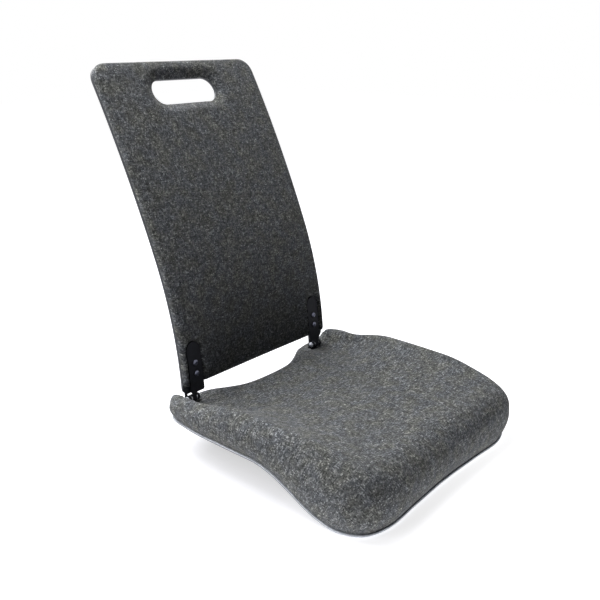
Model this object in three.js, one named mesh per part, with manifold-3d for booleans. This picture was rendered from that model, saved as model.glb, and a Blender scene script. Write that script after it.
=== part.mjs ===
// Folding floor chair
// A dished, upholstered seat stands on its moulded shell, and a slim curved backrest with a hand slot
// folds forward over it on two steel hinges at the rear corners.
// Millimetres. +Z is up, the sitter faces -Y, and the origin is on the floor under the middle of the seat.

import * as THREE from 'three';
import { mergeVertices } from 'three/addons/utils/BufferGeometryUtils.js';
import Module from 'manifold-3d';

const wasm = await Module();
wasm.setup();

// Fits shared by all the pieces
const fitGap = 0.3;
const overrun = 30;
const weldTolerance = 0.0001;

// Seat outline
const seatWidth = 402;
const seatFrontReach = 189;
const seatEarReach = 199;
const cutoutDepth = 39;
const cutoutHalfWidth = 92;
const seatOutlinePoints = 56;
const cutoutShares = [[0, 0], [0.6, 0.1], [0.9, 0.45], [1.2, 0.87]];
const earShares = [[0.75, 1], [0.93, 0.9], [0.985, 0.68], [1, 0.25]];
const flankShares = [[0.995, 0.33], [1, 0.6], [0.985, 0.8]];
const frontShares = [[0.915, 0.93], [0.74, 1], [0.4, 0.995], [0, 0.985]];

// Seat heights above the floor, and where they change: distances in from the ears' ends or the front edge
const seatRearHeight = 66;
const seatThighHeight = 80;
const rearFlatFromEars = 79;
const thighFromFront = 99;
const crestHeight = 103;
const crestFromSide = 25;
const crestRearFall = 17;
const crestFallStartFromEars = 154;
const crestFallEndFromEars = 59;
const crestFrontFall = 21;
const crestFallStartFromFront = 139;
const crestFallEndFromFront = -1;
const crestPower = 3.2;
const crestRearPower = 26;
const crestSteepStartFromEars = 149;
const crestSteepEndFromEars = 64;
const hingeDentDepth = 7;
const hingeDentRadius = 44;
const hingeDentInboard = 5.5;
const hingeDentForward = 2;

// Rolled edge of the seat cushion
const sideRollWidth = 28;
const frontRollWidth = 46;
const rearRollWidth = 18;
const rollDepthShare = 0.45;
const frontRollStartFromFront = 119;
const frontRollEndFromFront = 24;
const rearRollStartFromEars = 79;
const rearRollEndFromEars = 39;
const sideBulge = 2;
const sideDrawIn = 4;
const frontDrawIn = 9;
const seatCoverThickness = 1.6;
const innerRingShares = [0.3, 0.72, 0.93];
const rollSteps = 4;
const sideSteps = 2;

// Seat shell
const seatShellThickness = 3;
const sideRimHeight = 52;
const frontRimHeight = 4.5;
const rearRimDip = 20;
const rimFallStartFromFront = 42;
const rimFallEndFromFront = 195;
const rimDipShares = [0.5, 1.2];
const rimProud = 1;
const soleHalfWidth = 82;
const soleRearLength = 112;
const soleFrontLength = 150;
const solePower = 3;
const flareShare = 0.5;
const shellRingShares = [0.2, 0.4, 0.5, 0.6, 0.7, 0.8, 0.9];

// Backrest
const backFromSeatSide = 40;
const backLean = THREE.MathUtils.degToRad(4);
const lumbarRadius = 620;
const lumbarLength = 198;
const upperRadius = 2030;
const upperLength = 295;
const backShellThickness = 5;
const backCornerRadius = 26;
const backArchRise = 2.5;
const legWidth = 20;
const legEndRadius = 9;
const legLength = 11;
const legClearance = 10;
const backPadHeight = 9;
const backPadEdgeHeight = 5;
const backPadRoll = 28;
const backCoverThickness = 1.2;
const backCoverInset = 0.4;
const handSlotLength = 134;
const handSlotHeight = 44;
const handSlotFromTop = 50;
const handSlotRoll = 26;
const handSlotEdgeHeight = 3;
const slotRingPoints = 28;
const padInsetShares = [0, 0.06, 0.2, 0.45, 1, 2.6];
const backStations = 19;
const strapStations = 6;
const stationCrowding = 0.025;

// Hinges
const hingeFromPanelSide = 17.5;
const hingeFromEars = 21;
const hingeAboveRim = 14;
const steelThickness = 2.5;
const strapInboard = 7;
const strapWidth = 26;
const strapLength = 87;
const strapSkirtLength = 12;
const strapSkirtCorner = 2;
const bracketWidth = 20;
const lowerScrewHeight = 38;
const upperScrewHeight = 55;
const padUnderStrap = 1.6;
const knuckleRadius = 5.5;
const strapKnuckleWidth = 7;
const washerWidth = 2;
const washerRadius = 5;
const pinRadius = 3;
const pinHeadRadius = 4.6;
const pinHeadHeight = 1.8;
const boreClearance = 0.3;
const windowClearance = 0.7;
const stopTabHeight = 19;
const footLength = 36;
const footRivetFront = 28;
const footRivetRear = 14;
const rivetRadius = 2.5;
const rivetHeadRadius = 4.5;
const rivetHeadHeight = 2;
const screwRadius = 2.5;
const screwHeadRadius = 4.5;
const screwHeadHeight = 2.6;
const nutAcrossFlats = 8;
const nutHeight = 4;
const screwEnd = 1;
const headRimShare = 0.3;
const wellClearance = 1.2;
const roundSides = 20;

// Sizes that follow from those above
const seatHalf = seatWidth / 2;
const backWidth = seatWidth - 2 * backFromSeatSide;
const cutoutY = seatEarReach - cutoutDepth;
const hingeX = backWidth / 2 - hingeFromPanelSide;
const hingeY = seatEarReach - hingeFromEars;
const hingeHeight = sideRimHeight + hingeAboveRim;
const screwX = hingeX - strapInboard;
const strapBack = steelThickness - knuckleRadius;
const shellFront = strapBack + fitGap + padUnderStrap + fitGap;
const shellBack = shellFront + backShellThickness;
const panelStart = legClearance + legLength;
const panelEnd = panelStart + lumbarLength + upperLength;
const handSlotCentre = panelEnd - handSlotFromTop;
const foamInset = seatCoverThickness + fitGap;
const boreRadius = pinRadius + boreClearance;
const windowHalfWidth = strapKnuckleWidth / 2 + fitGap + washerWidth + fitGap;

// Finishes

function finish(colour, roughness, metalness) {
  return new THREE.MeshStandardMaterial({ color: colour, roughness, metalness });
}

const feltGrey = () => finish(0x4b4d52, 0.95, 0);
const foamGrey = () => finish(0x8b8d90, 0.9, 0);
const shellBlack = () => finish(0x2b2d33, 0.45, 0);
const steelBlack = () => finish(0x1c1d21, 0.4, 0.6);
const zincBright = () => finish(0xc9ccd1, 0.3, 0.9);

// Solids and meshes

function toSolid(geometry) {
  const bare = geometry.clone();
  bare.deleteAttribute('normal');
  bare.deleteAttribute('uv');
  const merged = mergeVertices(bare, weldTolerance);
  return new wasm.Manifold(new wasm.Mesh({
    numProp: 3,
    vertProperties: Float32Array.from(merged.attributes.position.array),
    triVerts: Uint32Array.from(merged.index.array),
  }));
}

function toGeometry(solid) {
  const mesh = solid.getMesh();
  const geometry = new THREE.BufferGeometry();
  geometry.setAttribute('position', new THREE.BufferAttribute(Float32Array.from(mesh.vertProperties), 3));
  geometry.setIndex(new THREE.BufferAttribute(Uint32Array.from(mesh.triVerts), 1));
  geometry.computeVertexNormals();
  return geometry;
}

function piece(name, solid, material) {
  const mesh = new THREE.Mesh(toGeometry(solid), material);
  mesh.name = name;
  return mesh;
}

function without(solid, cuts) {
  return cuts.reduce((left, cut) => left.subtract(cut), solid);
}

// Volume inside a triangle list, negative where its faces point inwards
function signedVolume(points, triangles) {
  let six = 0;
  for (let i = 0; i < triangles.length; i += 3) {
    const [a, b, c] = [points[triangles[i]], points[triangles[i + 1]], points[triangles[i + 2]]];
    six += a.dot(b.clone().cross(c));
  }
  return six;
}

// Joins rings, each of the same number of points, and fans both ends to their middles. A second list,
// given in the same order as the first, is the way back inside it, split along the same corners.
function loft(rings, wayBack = []) {
  const count = rings[0].length;
  const stack = [...rings, ...[...wayBack].reverse()];
  const points = stack.flat();
  const triangles = [];
  for (let r = 0; r + 1 < stack.length; r += 1) {
    for (let i = 0; i < count; i += 1) {
      const next = (i + 1) % count;
      const [a, b, c, d] = [r * count + i, r * count + next, (r + 1) * count + next, (r + 1) * count + i];
      if (r < rings.length) triangles.push(a, b, c, a, c, d);
      else triangles.push(a, b, d, b, c, d);
    }
  }
  for (const end of [0, stack.length - 1]) {
    const middle = stack[end].reduce((sum, p) => sum.add(p), new THREE.Vector3()).divideScalar(count);
    points.push(middle);
    for (let i = 0; i < count; i += 1) {
      const next = (i + 1) % count;
      const [a, b] = end ? [i, next] : [next, i];
      triangles.push(points.length - 1, end * count + a, end * count + b);
    }
  }
  if (signedVolume(points, triangles) < 0) triangles.reverse();
  const geometry = new THREE.BufferGeometry().setFromPoints(points);
  geometry.setIndex(triangles);
  return toSolid(geometry);
}

// Extrudes a flat shape by a depth and places it with its own axes along the three given ones
function prism(shape, depth, curveSegments, origin, xAxis, yAxis) {
  const geometry = new THREE.ExtrudeGeometry(shape, { depth, bevelEnabled: false, curveSegments });
  const zAxis = xAxis.clone().cross(yAxis);
  const place = new THREE.Matrix4().makeBasis(xAxis, yAxis, zAxis).setPosition(origin);
  return toSolid(geometry.applyMatrix4(place));
}

const alongX = new THREE.Vector3(1, 0, 0);
const alongY = new THREE.Vector3(0, 1, 0);
const alongZ = new THREE.Vector3(0, 0, 1);

// A box between two corners
function block(low, high) {
  const size = new THREE.Vector3().subVectors(high, low);
  const geometry = new THREE.BoxGeometry(size.x, size.y, size.z);
  const middle = new THREE.Vector3().addVectors(low, high).multiplyScalar(0.5);
  geometry.translate(middle.x, middle.y, middle.z);
  return toSolid(geometry);
}

// A turned piece: the profile holds pairs of radius and height along the given axis
function turned(profile, origin, axis, sides = roundSides) {
  const points = profile.map(([radius, height]) => new THREE.Vector2(radius, height));
  const geometry = new THREE.LatheGeometry(points, sides);
  const turn = new THREE.Quaternion().setFromUnitVectors(alongY, axis);
  geometry.applyQuaternion(turn);
  geometry.translate(origin.x, origin.y, origin.z);
  return toSolid(geometry);
}

function rod(radius, start, end, origin, axis, sides = roundSides) {
  return turned([[0, start], [radius, start], [radius, end], [0, end]], origin, axis, sides);
}

// Half the profile of a head with a low straight rim and a domed crown, from its underside to its middle
function domedHead(radius, base, height) {
  const steps = 4;
  const rim = height * headRimShare;
  const profile = [[radius, base]];
  for (let i = 0; i < steps; i += 1) {
    const angle = (i / steps) * Math.PI / 2;
    profile.push([radius * Math.cos(angle), base + rim + (height - rim) * Math.sin(angle)]);
  }
  return [...profile, [0, base + height]];
}

function ease(start, end, value) {
  const t = THREE.MathUtils.clamp((value - start) / (end - start), 0, 1);
  return t * t * (3 - 2 * t);
}

// Height of a quarter-round edge, from 0 at the edge to 1 at its inner side
function rollHeight(distance, width) {
  const t = 1 - THREE.MathUtils.clamp(distance / width, 0, 1);
  return Math.sqrt(1 - t * t);
}

// Seat surfaces

// The outline in plan, from the middle of the rear cut-out round by the right-hand side
function seatOutline() {
  const half = [
    ...cutoutShares.map(([x, y]) => [x * cutoutHalfWidth, cutoutY + y * cutoutDepth]),
    ...earShares.map(([x, y]) => [x * seatHalf, y * seatEarReach]),
    ...[...flankShares, ...frontShares].map(([x, y]) => [x * seatHalf, -y * seatFrontReach]),
  ];
  const mirrored = half.slice(1, -1).reverse().map(([x, y]) => [-x, y]);
  const points = [...half, ...mirrored].map(([x, y]) => new THREE.Vector3(x, y, 0));
  const curve = new THREE.CatmullRomCurve3(points, true, 'centripetal');
  return curve.getPoints(seatOutlinePoints).slice(0, -1);
}

const outline = seatOutline();
const fromEars = (distance) => seatEarReach - distance;
const fromFront = (distance) => distance - seatFrontReach;

// The top of the cushion before its edges roll over
function seatTop(x, y) {
  const thigh = ease(fromEars(rearFlatFromEars), fromFront(thighFromFront), y);
  const base = seatRearHeight + (seatThighHeight - seatRearHeight) * thigh;
  const rear = ease(fromEars(crestFallStartFromEars), fromEars(crestFallEndFromEars), y);
  const front = ease(fromFront(crestFallStartFromFront), fromFront(crestFallEndFromFront), y);
  const crest = crestHeight - crestRearFall * rear - crestFrontFall * front;
  const steep = ease(fromEars(crestSteepStartFromEars), fromEars(crestSteepEndFromEars), y);
  const power = crestPower + (crestRearPower - crestPower) * steep;
  const rise = Math.max(crest - base, 0) * Math.min(Math.abs(x) / (seatHalf - crestFromSide), 1) ** power;
  const away = Math.hypot(Math.abs(x) - hingeX + hingeDentInboard, y - hingeY + hingeDentForward);
  const dent = hingeDentDepth * (1 - ease(0, hingeDentRadius, away));
  return base + rise - dent;
}

// The height of the rim, where the cushion ends and the shell's edge shows
function rimTop(x, y) {
  const back = ease(fromFront(rimFallStartFromFront), fromFront(rimFallEndFromFront), y);
  const [dipStart, dipEnd] = rimDipShares.map((share) => share * cutoutHalfWidth);
  const dip = rearRimDip * (1 - ease(dipStart, dipEnd, Math.abs(x))) * ease(0, cutoutY, y);
  return frontRimHeight + (sideRimHeight - frontRimHeight) * back - dip;
}

// From 0 on the sides to 1 at the front edge
function frontness(y) {
  return ease(fromFront(frontRollStartFromFront), fromFront(frontRollEndFromFront), y);
}

// Width and depth of the rolled edge at a point of the outline
function rollAt(edge) {
  const front = frontness(edge.y);
  const rear = ease(fromEars(rearRollStartFromEars), fromEars(rearRollEndFromEars), edge.y);
  const [toFront, toRear] = [frontRollWidth - sideRollWidth, rearRollWidth - sideRollWidth];
  const width = sideRollWidth + toFront * front + toRear * rear;
  const depth = rollDepthShare * (seatTop(edge.x, edge.y) - rimTop(edge.x, edge.y));
  return { width, depth };
}

// How far the cushion's side draws in from its bulge down to the rim
function drawIn(edge) {
  return sideDrawIn + (frontDrawIn - sideDrawIn) * frontness(edge.y);
}

function inward(point, distance) {
  return point.clone().setLength(point.length() - distance);
}

// Rings of the cushion's upper surface, set in by an offset, from near the middle out and down to the rim
function cushionRings(offset) {
  const rings = [];
  for (const share of innerRingShares) {
    rings.push(outline.map((edge) => {
      const reach = (edge.length() - rollAt(edge).width) * share;
      const p = edge.clone().setLength(reach);
      return p.setZ(seatTop(p.x, p.y) - offset);
    }));
  }
  for (let i = 0; i <= rollSteps; i += 1) {
    const angle = (i / rollSteps) * Math.PI / 2;
    rings.push(outline.map((edge) => {
      const roll = rollAt(edge);
      const p = inward(edge, roll.width - (roll.width - offset) * Math.sin(angle));
      return p.setZ(seatTop(p.x, p.y) - roll.depth + (roll.depth - offset) * Math.cos(angle));
    }));
  }
  for (let i = 1; i <= sideSteps; i += 1) {
    const t = i / sideSteps;
    rings.push(outline.map((edge) => {
      const shoulder = inward(edge, offset);
      const top = seatTop(shoulder.x, shoulder.y) - rollAt(edge).depth;
      const p = inward(edge, offset - sideBulge * Math.sin(Math.PI * t) + drawIn(edge) * t * t);
      const end = rimTop(edge.x, edge.y) + fitGap;
      return p.setZ(top + (end - top) * t);
    }));
  }
  return rings;
}

// Top face of the shell: a flat sole on the floor whose sides flare up to the rim
function shellTop(point, edge) {
  const [x, y] = [point.x, point.y];
  const reach = Math.hypot(x, y);
  const soleLength = y > 0 ? soleRearLength : soleFrontLength;
  const [c, s] = [Math.abs(edge.x) / edge.length(), Math.abs(edge.y) / edge.length()];
  const sole = ((c / soleHalfWidth) ** solePower + (s / soleLength) ** solePower) ** (-1 / solePower);
  const flareEnd = sole + (edge.length() - sole) * flareShare;
  return seatShellThickness + (rimTop(edge.x, edge.y) - seatShellThickness) * ease(sole, flareEnd, reach);
}

// Rings over the shell's top face, lifted by an amount, ending at distances inside the cushion's lower edge
function shellRings(lift, insets) {
  const flared = shellRingShares.map((share) => outline.map((edge) => {
    const p = edge.clone().multiplyScalar(share);
    return p.setZ(shellTop(p, edge) + lift);
  }));
  const rim = insets.map((inset) => outline.map(
    (edge) => inward(edge, drawIn(edge) + inset).setZ(rimTop(edge.x, edge.y) + lift),
  ));
  return [...flared, ...rim];
}

// Seat pieces

function seatShell() {
  const insets = [foamInset, -rimProud];
  return loft(shellRings(0, insets), shellRings(-seatShellThickness, insets));
}

function seatCover() {
  return loft(cushionRings(0), cushionRings(seatCoverThickness));
}

function seatFoam() {
  const upper = cushionRings(seatCoverThickness + fitGap).slice(0, -1);
  return loft(upper, shellRings(fitGap, [foamInset]));
}

// Side view of a piece, drawn in Y and Z and carried across the chair
function sideBar(shape, fromX, toX, curveSegments = roundSides) {
  return prism(shape, toX - fromX, curveSegments, new THREE.Vector3(fromX, 0, 0), alongY, alongZ);
}

// Backrest surfaces, measured from the hinge axis: up the panel, and back from the face of the strap's axis

function backFrame(height) {
  const straight = Math.min(height, panelStart);
  const lumbar = THREE.MathUtils.clamp(height - panelStart, 0, lumbarLength);
  const upper = Math.max(height - panelStart - lumbarLength, 0);
  const point = new THREE.Vector2(Math.sin(backLean), Math.cos(backLean)).multiplyScalar(straight);
  let lean = backLean;
  for (const [length, radius] of [[lumbar, lumbarRadius], [upper, upperRadius]]) {
    const turn = length / radius;
    point.x += radius * (Math.cos(lean) - Math.cos(lean + turn));
    point.y += radius * (Math.sin(lean + turn) - Math.sin(lean));
    lean += turn;
  }
  return { point, lean };
}

function onBack(x, height, back) {
  const { point, lean } = backFrame(height);
  return new THREE.Vector3(x, point.x + back * Math.cos(lean), point.y - back * Math.sin(lean));
}

// A prism cut square to the panel at one height, its shape drawn across the panel and up it
function panelPrism(shape, height, from, to, curveSegments = 6) {
  const { lean } = backFrame(height);
  const up = new THREE.Vector3(0, Math.sin(lean), Math.cos(lean));
  return prism(shape, to - from, curveSegments, onBack(0, height, -from), alongX, up);
}

// Forwards out of the panel at a height
function forwards(height) {
  const { lean } = backFrame(height);
  return new THREE.Vector3(0, -Math.cos(lean), Math.sin(lean));
}

// The panel's outline near its top: straight sides and two round corners
function topOutline(inset) {
  const half = backWidth / 2 - inset;
  const radius = backCornerRadius - inset;
  const bottom = -(panelEnd + overrun);
  const shape = new THREE.Shape();
  shape.moveTo(-half, bottom);
  shape.lineTo(half, bottom);
  shape.lineTo(half, -inset - radius);
  shape.absarc(half - radius, -inset - radius, radius, 0, Math.PI / 2, false);
  shape.lineTo(radius - half, -inset);
  shape.absarc(radius - half, -inset - radius, radius, Math.PI / 2, Math.PI, false);
  return shape;
}

// The panel's outline near its bottom: an arched edge, and below it the two legs where they are wanted
function bottomOutline(inset, withLegs) {
  const half = backWidth / 2 - inset;
  const top = panelEnd + overrun;
  const inner = backWidth / 2 - legWidth;
  const corner = legEndRadius - legLength;
  const downwards = 1.5 * Math.PI;
  const shape = new THREE.Shape();
  shape.moveTo(half, top);
  shape.lineTo(-half, top);
  if (withLegs) {
    shape.lineTo(-half, corner);
    shape.absarc(legEndRadius - half, corner, legEndRadius, Math.PI, downwards, false);
    shape.lineTo(-inner, -legLength);
    shape.lineTo(-inner, 0);
    shape.quadraticCurveTo(0, 2 * backArchRise, inner, 0);
    shape.lineTo(inner, -legLength);
    shape.lineTo(half - legEndRadius, -legLength);
    shape.absarc(half - legEndRadius, corner, legEndRadius, downwards, 2 * Math.PI, false);
  } else {
    shape.lineTo(-half, inset);
    shape.lineTo(-inner, inset);
    shape.quadraticCurveTo(0, inset + 2 * backArchRise, inner, inset);
    shape.lineTo(half, inset);
  }
  return shape;
}

function trimmedPanel(solid, inset, withLegs) {
  const top = panelPrism(topOutline(inset), panelEnd, -panelEnd, panelEnd, 6);
  const bottom = panelPrism(bottomOutline(inset, withLegs), panelStart, -panelEnd, panelEnd, 8);
  return solid.intersect(top).intersect(bottom);
}

// Heights of the stations up the panel, closer together near both ends where the edges roll
function stationHeights(from, to, count) {
  const rows = [];
  for (let i = 0; i <= count; i += 1) {
    const t = i / count;
    rows.push(from + (to - from) * (t - stationCrowding * Math.sin(4 * Math.PI * t)));
  }
  return rows;
}

function backShell() {
  const rows = stationHeights(0, panelEnd + overrun, backStations);
  const half = backWidth / 2 + overrun;
  const rings = rows.map((height) => [
    onBack(-half, height, shellFront),
    onBack(half, height, shellFront),
    onBack(half, height, shellBack),
    onBack(-half, height, shellBack),
  ]);
  const panel = trimmedPanel(loft(rings), 0, true);
  return without(panel, [handSlot(0), ...screwHoles(screwRadius + boreClearance)]);
}

function stadium(length, height) {
  const radius = height / 2;
  const straight = length / 2 - radius;
  const shape = new THREE.Shape();
  shape.moveTo(-straight, -radius);
  shape.lineTo(straight, -radius);
  shape.absarc(straight, 0, radius, -Math.PI / 2, Math.PI / 2, false);
  shape.lineTo(-straight, radius);
  shape.absarc(-straight, 0, radius, Math.PI / 2, 1.5 * Math.PI, false);
  return shape;
}

// The hand slot, cut square to the panel and widened all round
function handSlot(widened) {
  const shape = stadium(handSlotLength + 2 * widened, handSlotHeight + 2 * widened);
  return panelPrism(shape, handSlotCentre, -overrun, overrun, 8);
}

// The hand slot with the dish round it that lets fingers in: its slope is half an arch of a sine,
// and inside the pad it lies lower and its wall further out by the same inset
function paddedSlot(inset) {
  const steps = 4;
  const floor = handSlotEdgeHeight - shellFront - inset;
  const rise = backPadHeight - handSlotEdgeHeight;
  const rings = [[-overrun, inset], [floor, inset]];
  for (let i = 1; i <= steps; i += 1) {
    const share = i / steps;
    rings.push([floor + rise * Math.sin(share * Math.PI / 2), handSlotRoll * share]);
  }
  rings.push([floor + rise + overrun, handSlotRoll]);
  return loft(rings.map(([depth, widened]) => slotRing(depth, widened)));
}

function slotRing(depth, widened) {
  const shape = stadium(handSlotLength + 2 * widened, handSlotHeight + 2 * widened);
  const { lean } = backFrame(handSlotCentre);
  const up = new THREE.Vector3(0, Math.sin(lean), Math.cos(lean));
  const centre = onBack(0, handSlotCentre, -depth);
  return shape.getSpacedPoints(slotRingPoints).slice(0, -1).map((p) => new THREE.Vector3(p.x, 0, 0)
    .addScaledVector(up, p.y)
    .add(centre));
}

// Distance inside the panel's padded outline, with its round top corners
function insidePanel(x, height, inset) {
  const half = backWidth / 2 - inset;
  const middle = (panelStart + panelEnd) / 2;
  const reach = (panelEnd - panelStart) / 2 - inset;
  const radius = backCornerRadius - inset;
  const dx = Math.abs(x) - half + radius;
  const dy = Math.abs(height - middle) - reach + radius;
  return radius - Math.hypot(Math.max(dx, 0), Math.max(dy, 0)) - Math.min(Math.max(dx, dy), 0);
}

// A padded slab over the front of the panel, its face crowned and rolled at the edges
function paddedSlab(inset, drop, backFace) {
  const half = backWidth / 2 - inset;
  const across = padInsetShares.map((share) => half - share * backPadRoll);
  const columns = [...across.map((x) => -x), ...across.reverse()];
  const rings = stationHeights(panelStart + inset, panelEnd - inset, backStations).map((height) => {
    const face = columns.map((x) => {
      const roll = rollHeight(insidePanel(x, height, inset), backPadRoll);
      const thick = backPadEdgeHeight + (backPadHeight - backPadEdgeHeight) * roll - drop;
      return onBack(x, height, shellFront - thick);
    });
    return [...face, onBack(half, height, backFace), onBack(-half, height, backFace)];
  });
  return trimmedPanel(loft(rings), inset, false);
}

function backCover() {
  const skin = backCoverThickness;
  const outer = paddedSlab(backCoverInset, 0, shellFront - fitGap).subtract(paddedSlot(0));
  const inner = paddedSlab(backCoverInset + skin, skin, shellFront + overrun).subtract(paddedSlot(skin));
  return without(outer.subtract(inner), strapPockets());
}

function backFoam() {
  const offset = backCoverThickness + fitGap;
  const slab = paddedSlab(backCoverInset + offset, offset, shellFront - fitGap);
  const cuts = [paddedSlot(offset), ...strapPockets(), ...screwHoles(screwRadius + boreClearance)];
  return without(slab, cuts);
}

// Hinge pieces, made at the hinge axis and placed at both sides

// Strap outline on one side: round top, full width to a little below the panel, with its corners cut,
// and a narrow tongue to its knuckle
function strapOutline(side, clearance) {
  const [centre, neck] = [side * screwX, side * hingeX];
  const half = strapWidth / 2 + clearance;
  const tongue = strapKnuckleWidth / 2;
  const skirt = panelStart - strapSkirtLength - clearance;
  const shape = new THREE.Shape();
  shape.moveTo(neck - tongue, 0);
  shape.lineTo(neck + tongue, 0);
  shape.lineTo(neck + tongue, skirt);
  shape.lineTo(centre + half - strapSkirtCorner, skirt);
  shape.lineTo(centre + half, skirt + strapSkirtCorner);
  shape.lineTo(centre + half, strapLength - strapWidth / 2);
  shape.absarc(centre, strapLength - strapWidth / 2, half, 0, Math.PI, false);
  shape.lineTo(centre - half, skirt + strapSkirtCorner);
  shape.lineTo(centre - half + strapSkirtCorner, skirt);
  shape.lineTo(neck - tongue, skirt);
  return shape;
}

const leanUp = new THREE.Vector3(0, Math.sin(backLean), Math.cos(backLean));
const leanFront = new THREE.Vector3(0, -Math.cos(backLean), Math.sin(backLean));

// A point of the hinge, up along the strap and back from the axis
function atHinge(x, up, back) {
  return new THREE.Vector3(x, 0, 0).addScaledVector(leanUp, up).addScaledVector(leanFront, -back);
}

// A plate that follows the panel, between two distances back from the axis, trimmed to a shape across and up
function strapPlate(side, clearance, front, back) {
  const [low, high] = [-backWidth / 2, backWidth / 2];
  const rings = stationHeights(0, strapLength + overrun, strapStations).map((height) => [
    onBack(low, height, front),
    onBack(high, height, front),
    onBack(high, height, back),
    onBack(low, height, back),
  ]);
  const shape = strapOutline(side, clearance);
  return loft(rings).intersect(prism(shape, 2 * strapLength, 8, atHinge(0, 0, strapLength), alongX, leanUp));
}

const strapFront = strapBack - steelThickness;

function strapPockets() {
  const floor = strapBack + fitGap;
  return [-1, 1].map((side) => strapPlate(side, wellClearance, floor - overrun, floor));
}

function screwHoles(radius) {
  return [-screwX, screwX].flatMap((x) => [lowerScrewHeight, upperScrewHeight].map(
    (height) => rod(radius, -overrun, overrun, onBack(x, height, 0), forwards(height)),
  ));
}

function backStrap(side) {
  const axis = new THREE.Vector3(side * hingeX, 0, 0);
  const plate = strapPlate(side, 0, strapFront, strapBack);
  const knuckle = rod(knuckleRadius, -strapKnuckleWidth / 2, strapKnuckleWidth / 2, axis, alongX);
  const bore = rod(boreRadius, -overrun, overrun, axis, alongX);
  return without(plate.add(knuckle), [bore, ...screwHoles(screwRadius + boreClearance)]);
}

function strapScrew(x, height) {
  const face = fitGap - strapFront;
  const tail = -(shellBack + fitGap + nutHeight + screwEnd);
  const head = domedHead(screwHeadRadius, face, screwHeadHeight);
  const profile = [[0, tail], [screwRadius, tail], [screwRadius, face], ...head];
  return turned(profile, onBack(x, height, 0), forwards(height), 14);
}

function strapNut(x, height) {
  const outer = nutAcrossFlats / 2 / Math.cos(Math.PI / 6);
  const base = shellBack + fitGap;
  const [centre, axis] = [onBack(x, height, 0), forwards(height)];
  const hexagon = rod(outer, -(base + nutHeight), -base, centre, axis, 6);
  const bore = rod(screwRadius + boreClearance, -base - overrun, overrun - base, centre, axis, 14);
  return hexagon.subtract(bore);
}

function hingePin(x) {
  const end = bracketWidth / 2 + fitGap;
  const right = [[pinRadius, end], ...domedHead(pinHeadRadius, end, pinHeadHeight)];
  const left = right.map(([radius, height]) => [radius, -height]).reverse();
  return turned([...left, ...right], new THREE.Vector3(x, 0, 0), alongX, 16);
}

function hingeWasher(x, side) {
  const inner = strapKnuckleWidth / 2 + fitGap;
  const [from, to] = side < 0 ? [-inner - washerWidth, -inner] : [inner, inner + washerWidth];
  const corners = [[boreRadius, from], [washerRadius, from], [washerRadius, to], [boreRadius, to]];
  return turned([...corners, corners[0]], new THREE.Vector3(x, 0, 0), alongX);
}

// Side view of the bracket: a foot, a bend, an upright, and above the axis a tab at the backrest's lean
function bracketSide() {
  const footBase = sideRimHeight + fitGap - hingeHeight;
  const tabFront = shellBack + fitGap;
  const tabBack = tabFront + steelThickness;
  const [cos, sin] = [Math.cos(backLean), Math.sin(backLean)];
  const leaning = (back, up) => [back * cos + up * sin, up * cos - back * sin];
  const side = new THREE.Shape();
  side.moveTo(-footLength, footBase);
  side.lineTo(tabFront, footBase);
  side.absarc(tabFront, footBase + steelThickness, steelThickness, -Math.PI / 2, 0, false);
  side.lineTo(tabBack, 0);
  side.lineTo(...leaning(tabBack, stopTabHeight));
  side.lineTo(...leaning(tabFront, stopTabHeight));
  side.lineTo(tabFront, 0);
  side.lineTo(tabFront, footBase + steelThickness);
  side.lineTo(-footLength, footBase + steelThickness);
  return side;
}

// Seat bracket: the bent plate, its two knuckles, the window between them and the holes in its foot
function seatBracket(x) {
  const plate = sideBar(bracketSide(), x - bracketWidth / 2, x + bracketWidth / 2, 6);
  const axis = new THREE.Vector3(x, 0, 0);
  const knuckles = rod(knuckleRadius, -bracketWidth / 2, bracketWidth / 2, axis, alongX);
  const bore = rod(boreRadius, -overrun, overrun, axis, alongX);
  const windowHeight = knuckleRadius + windowClearance;
  const opening = block(
    new THREE.Vector3(x - windowHalfWidth, -windowHeight, -windowHeight),
    new THREE.Vector3(x + windowHalfWidth, overrun, windowHeight),
  );
  return without(plate.add(knuckles), [bore, opening, ...rivetHoles(x, 0, -overrun, 0)]);
}

const rivetPlaces = [-footRivetRear, -footRivetFront];

// Upright holes for one bracket's rivets, between two heights
function rivetHoles(x, axisY, from, to) {
  const radius = rivetRadius + boreClearance;
  return rivetPlaces.map((y) => rod(radius, from, to, new THREE.Vector3(x, axisY + y, 0), alongZ, 14));
}

function bracketRivet(x, y) {
  const top = sideRimHeight + 2 * fitGap + steelThickness - hingeHeight;
  const bottom = sideRimHeight - seatShellThickness - fitGap - hingeHeight;
  const upper = domedHead(rivetHeadRadius, top, rivetHeadHeight);
  const head = domedHead(rivetHeadRadius, 0, rivetHeadHeight);
  const lower = head.map(([radius, height]) => [radius, bottom - height]).reverse();
  const profile = [...lower, [rivetRadius, bottom], [rivetRadius, top], ...upper];
  return turned(profile, new THREE.Vector3(x, y, 0), alongZ, 14);
}

// What the foam leaves free for a bracket's foot, which lies between the shell and the cover
function footSpace(x) {
  const footHalf = bracketWidth / 2 + wellClearance;
  return block(
    new THREE.Vector3(x - footHalf, hingeY - footLength - wellClearance, 0),
    new THREE.Vector3(x + footHalf, hingeY, hingeHeight),
  );
}

// What foam and cover both leave free for the knuckles and the upright
function hingeWell(x) {
  const wellHalf = bracketWidth / 2 + fitGap + pinHeadHeight + wellClearance;
  const wellBack = shellBack + fitGap + steelThickness + wellClearance;
  return block(
    new THREE.Vector3(x - wellHalf, hingeY - knuckleRadius - wellClearance, 0),
    new THREE.Vector3(x + wellHalf, hingeY + wellBack, hingeHeight + overrun),
  );
}

const footSpaces = [-hingeX, hingeX].map(footSpace);
const hingeWells = [-hingeX, hingeX].map(hingeWell);
const shellHoles = [-hingeX, hingeX].flatMap((x) => rivetHoles(x, hingeY, 0, 2 * sideRimHeight));

// Assembly

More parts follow.
